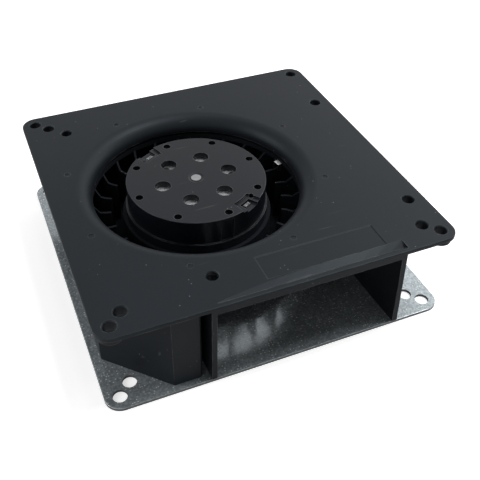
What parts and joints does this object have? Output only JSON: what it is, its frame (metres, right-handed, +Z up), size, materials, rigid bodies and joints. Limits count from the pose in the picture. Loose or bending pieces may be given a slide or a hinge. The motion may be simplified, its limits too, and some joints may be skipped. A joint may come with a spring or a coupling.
{
  "type": "dc blower fan",
  "caption": "Flat centrifugal blower: black scroll housing on a galvanised base plate, with a radial impeller on an external-rotor motor.",
  "frame": {"origin": "centre of the square base plate at its underside", "axes": "+Z up along the rotor axis and out of the inlet, outlet towards -Y, +X to the right seen from the outlet"},
  "size_m": [0.135, 0.135, 0.038],
  "materials": {
    "housing_plastic": "satin",
    "impeller_plastic": "matte",
    "galvanised_steel": "spangled",
    "screw_steel": "satin",
    "cast_aluminium": "cast",
    "core_steel": "matte",
    "white_plastic": "satin",
    "copper_wire": "enamelled",
    "board": "gloss",
    "chip_plastic": "matte",
    "tin_pins": "satin",
    "bearing_steel": "polished",
    "cup_steel": "satin",
    "magnet": "matte",
    "brass": "satin",
    "clip_steel": "bright",
    "dark_spring_steel": "matte"
  },
  "bodies": {
    "stator": {"housing": "housing_plastic", "base_plate": "galvanised_steel", "base_screws": "screw_steel", "motor_flange": "cast_aluminium", "motor_screws": "screw_steel", "stator_core": "core_steel", "upper_insulator": "white_plastic", "lower_insulator": "white_plastic", "windings": "copper_wire", "terminal_pins": "tin_pins", "circuit_board": "board", "hall_sensor": "chip_plastic", "driver_chip": "chip_plastic", "power_transistors": "chip_plastic", "supply_terminals": "tin_pins", "upper_bearing_outer_race": "bearing_steel", "lower_bearing_outer_race": "bearing_steel", "wave_washer": "bearing_steel"},
    "rotor": {"impeller": "impeller_plastic", "rotor_cup": "cup_steel", "ring_magnet": "magnet", "rotor_bush": "brass", "shaft": "bearing_steel", "shaft_circlip": "dark_spring_steel", "upper_bearing_inner_race": "bearing_steel", "lower_bearing_inner_race": "bearing_steel", "upper_bearing_balls": "bearing_steel", "lower_bearing_balls": "bearing_steel", "balance_clip": "clip_steel"}
  },
  "joints": [
    {"name": "rotor_spin", "type": "hinge", "parent": "stator", "child": "rotor", "pos_m": [-0.0094, 0.0015, 0.0115], "axis": [0, 0, 1], "continuous": true}
  ]
}
